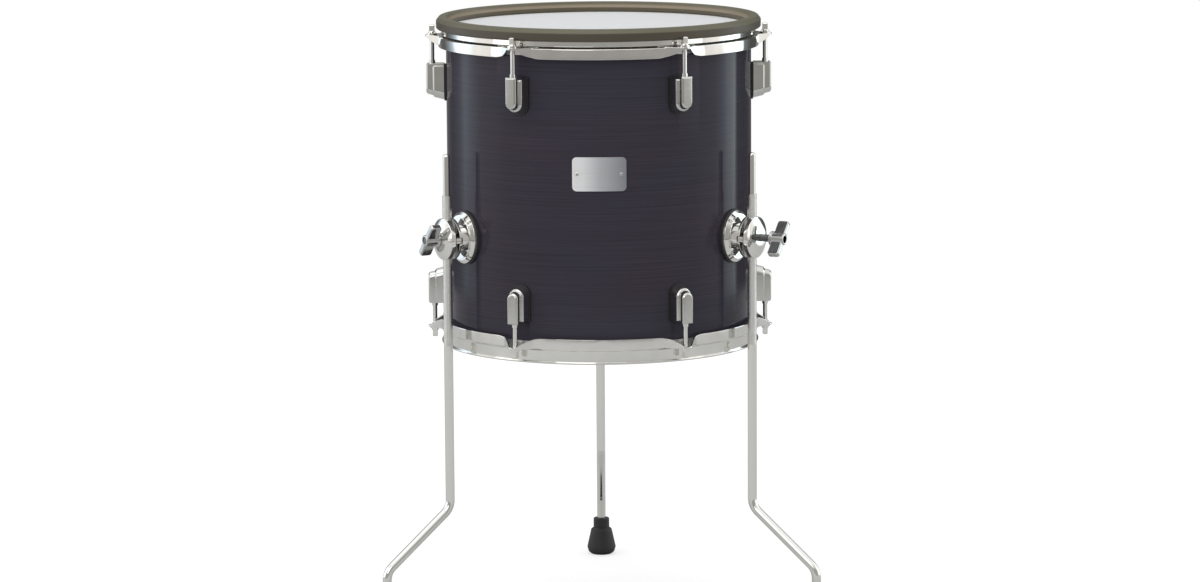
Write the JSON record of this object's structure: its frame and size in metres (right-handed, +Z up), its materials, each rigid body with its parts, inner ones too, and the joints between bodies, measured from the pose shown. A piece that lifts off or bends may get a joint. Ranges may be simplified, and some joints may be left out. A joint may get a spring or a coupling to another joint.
{
  "type": "floor tom",
  "caption": "Cylindrical floor tom with a mesh batter head, rubber rim cover, chrome flanged hoops and lugs, on bent height-adjustable legs held by wing-nut brackets.",
  "frame": {"origin": "the drum's axis at floor level", "axes": "+Z up along the drum's axis, -Y is the front with the badge, +X to the right seen from the front"},
  "size_m": [0.5308, 0.4928, 0.7],
  "materials": {
    "shell_lacquer": "high gloss lacquer over ebony stain",
    "chrome": "polished",
    "rim_rubber": "satin",
    "mesh": "woven mesh",
    "black_film": "smooth film",
    "flesh_ring": "satin",
    "black_rubber": "matte",
    "badge_metal": "brushed",
    "steel": "plated",
    "foam": "open cell foam",
    "jack_plastic": "moulded"
  },
  "bodies": {
    "drum": {"shell": "shell_lacquer", "batter_head": "mesh", "batter_flesh_ring": "flesh_ring", "batter_hoop": "chrome", "rim_rubber": "rim_rubber", "resonant_head": "black_film", "resonant_flesh_ring": "flesh_ring", "resonant_hoop": "chrome", "batter_lug_1": "chrome", "batter_lug_2": "chrome", "batter_lug_3": "chrome", "batter_lug_4": "chrome", "batter_lug_5": "chrome", "batter_lug_6": "chrome", "resonant_lug_1": "chrome", "resonant_lug_2": "chrome", "resonant_lug_3": "chrome", "resonant_lug_4": "chrome", "resonant_lug_5": "chrome", "resonant_lug_6": "chrome", "lug_gaskets": "black_rubber", "swivel_nuts": "chrome", "rod_washers": "chrome", "mounting_screws": "steel", "bracket_gaskets": "black_rubber", "eye_bolts": "chrome", "leg_bracket_left": "chrome", "leg_bracket_right": "chrome", "leg_bracket_rear": "chrome", "badge_plate": "badge_metal", "badge_rivets": "chrome", "sensor_crossbar": "steel", "sensor_plate": "jack_plastic", "sensor_cone": "foam", "output_jack": "jack_plastic", "jack_nut": "steel"},
    "batter_rod_1": {"batter_rod_1": "chrome"},
    "batter_rod_2": {"batter_rod_2": "chrome"},
    "batter_rod_3": {"batter_rod_3": "chrome"},
    "batter_rod_4": {"batter_rod_4": "chrome"},
    "batter_rod_5": {"batter_rod_5": "chrome"},
    "batter_rod_6": {"batter_rod_6": "chrome"},
    "resonant_rod_1": {"resonant_rod_1": "chrome"},
    "resonant_rod_2": {"resonant_rod_2": "chrome"},
    "resonant_rod_3": {"resonant_rod_3": "chrome"},
    "resonant_rod_4": {"resonant_rod_4": "chrome"},
    "resonant_rod_5": {"resonant_rod_5": "chrome"},
    "resonant_rod_6": {"resonant_rod_6": "chrome"},
    "leg_left": {"leg_left": "chrome", "foot_left": "black_rubber"},
    "leg_right": {"leg_right": "chrome", "foot_right": "black_rubber"},
    "leg_rear": {"leg_rear": "chrome", "foot_rear": "black_rubber"},
    "jaw_left": {"bracket_jaw_left": "chrome"},
    "wing_nut_left": {"wing_nut_left": "chrome"},
    "jaw_right": {"bracket_jaw_right": "chrome"},
    "wing_nut_right": {"wing_nut_right": "chrome"},
    "jaw_rear": {"bracket_jaw_rear": "chrome"},
    "wing_nut_rear": {"wing_nut_rear": "chrome"}
  },
  "joints": [
    {"name": "batter_rod_1_turn", "type": "hinge", "parent": "drum", "child": "batter_rod_1", "pos_m": [0.097, -0.16801, 0.68], "axis": [0, 0, 1], "range_deg": [-360, 360]},
    {"name": "batter_rod_2_turn", "type": "hinge", "parent": "drum", "child": "batter_rod_2", "pos_m": [0.194, 0, 0.68], "axis": [0, 0, 1], "range_deg": [-360, 360]},
    {"name": "batter_rod_3_turn", "type": "hinge", "parent": "drum", "child": "batter_rod_3", "pos_m": [0.097, 0.16801, 0.68], "axis": [0, 0, 1], "range_deg": [-360, 360]},
    {"name": "batter_rod_4_turn", "type": "hinge", "parent": "drum", "child": "batter_rod_4", "pos_m": [-0.097, 0.16801, 0.68], "axis": [0, 0, 1], "range_deg": [-360, 360]},
    {"name": "batter_rod_5_turn", "type": "hinge", "parent": "drum", "child": "batter_rod_5", "pos_m": [-0.194, 0, 0.68], "axis": [0, 0, 1], "range_deg": [-360, 360]},
    {"name": "batter_rod_6_turn", "type": "hinge", "parent": "drum", "child": "batter_rod_6", "pos_m": [-0.097, -0.16801, 0.68], "axis": [0, 0, 1], "range_deg": [-360, 360]},
    {"name": "resonant_rod_1_turn", "type": "hinge", "parent": "drum", "child": "resonant_rod_1", "pos_m": [0.097, -0.16801, 0.335], "axis": [0, 0, 1], "range_deg": [-360, 360]},
    {"name": "resonant_rod_2_turn", "type": "hinge", "parent": "drum", "child": "resonant_rod_2", "pos_m": [0.194, 0, 0.335], "axis": [0, 0, 1], "range_deg": [-360, 360]},
    {"name": "resonant_rod_3_turn", "type": "hinge", "parent": "drum", "child": "resonant_rod_3", "pos_m": [0.097, 0.16801, 0.335], "axis": [0, 0, 1], "range_deg": [-360, 360]},
    {"name": "resonant_rod_4_turn", "type": "hinge", "parent": "drum", "child": "resonant_rod_4", "pos_m": [-0.097, 0.16801, 0.335], "axis": [0, 0, 1], "range_deg": [-360, 360]},
    {"name": "resonant_rod_5_turn", "type": "hinge", "parent": "drum", "child": "resonant_rod_5", "pos_m": [-0.194, 0, 0.335], "axis": [0, 0, 1], "range_deg": [-360, 360]},
    {"name": "resonant_rod_6_turn", "type": "hinge", "parent": "drum", "child": "resonant_rod_6", "pos_m": [-0.097, -0.16801, 0.335], "axis": [0, 0, 1], "range_deg": [-360, 360]},
    {"name": "leg_left_height", "type": "slide", "parent": "drum", "child": "leg_left", "axis": [0, 0, 1], "range_m": [-0.025, 0.1]},
    {"name": "leg_right_height", "type": "slide", "parent": "drum", "child": "leg_right", "axis": [0, 0, 1], "range_m": [-0.025, 0.1]},
    {"name": "leg_rear_height", "type": "slide", "parent": "drum", "child": "leg_rear", "axis": [0, 0, 1], "range_m": [-0.025, 0.1]},
    {"name": "jaw_left_release", "type": "slide", "parent": "drum", "child": "jaw_left", "axis": [-0.866, -0.5, 0], "range_m": [0, 0.002]},
    {"name": "wing_nut_left_turn", "type": "hinge", "parent": "jaw_left", "child": "wing_nut_left", "pos_m": [-0.18637, -0.1076, 0.452], "axis": [-0.866, -0.5, 0], "range_deg": [0, 576]},
    {"name": "jaw_right_release", "type": "slide", "parent": "drum", "child": "jaw_right", "axis": [0.866, -0.5, 0], "range_m": [0, 0.002]},
    {"name": "wing_nut_right_turn", "type": "hinge", "parent": "jaw_right", "child": "wing_nut_right", "pos_m": [0.18637, -0.1076, 0.452], "axis": [0.866, -0.5, 0], "range_deg": [0, 576]},
    {"name": "jaw_rear_release", "type": "slide", "parent": "drum", "child": "jaw_rear", "axis": [0, 1, 0], "range_m": [0, 0.002]},
    {"name": "wing_nut_rear_turn", "type": "hinge", "parent": "jaw_rear", "child": "wing_nut_rear", "pos_m": [0, 0.2152, 0.452], "axis": [0, 1, 0], "range_deg": [0, 576]}
  ],
  "couplings": [
    {"joint": "wing_nut_left_turn", "follows": "jaw_left_release", "rad_per_m": 5026},
    {"joint": "wing_nut_right_turn", "follows": "jaw_right_release", "rad_per_m": 5026},
    {"joint": "wing_nut_rear_turn", "follows": "jaw_rear_release", "rad_per_m": 5026}
  ]
}
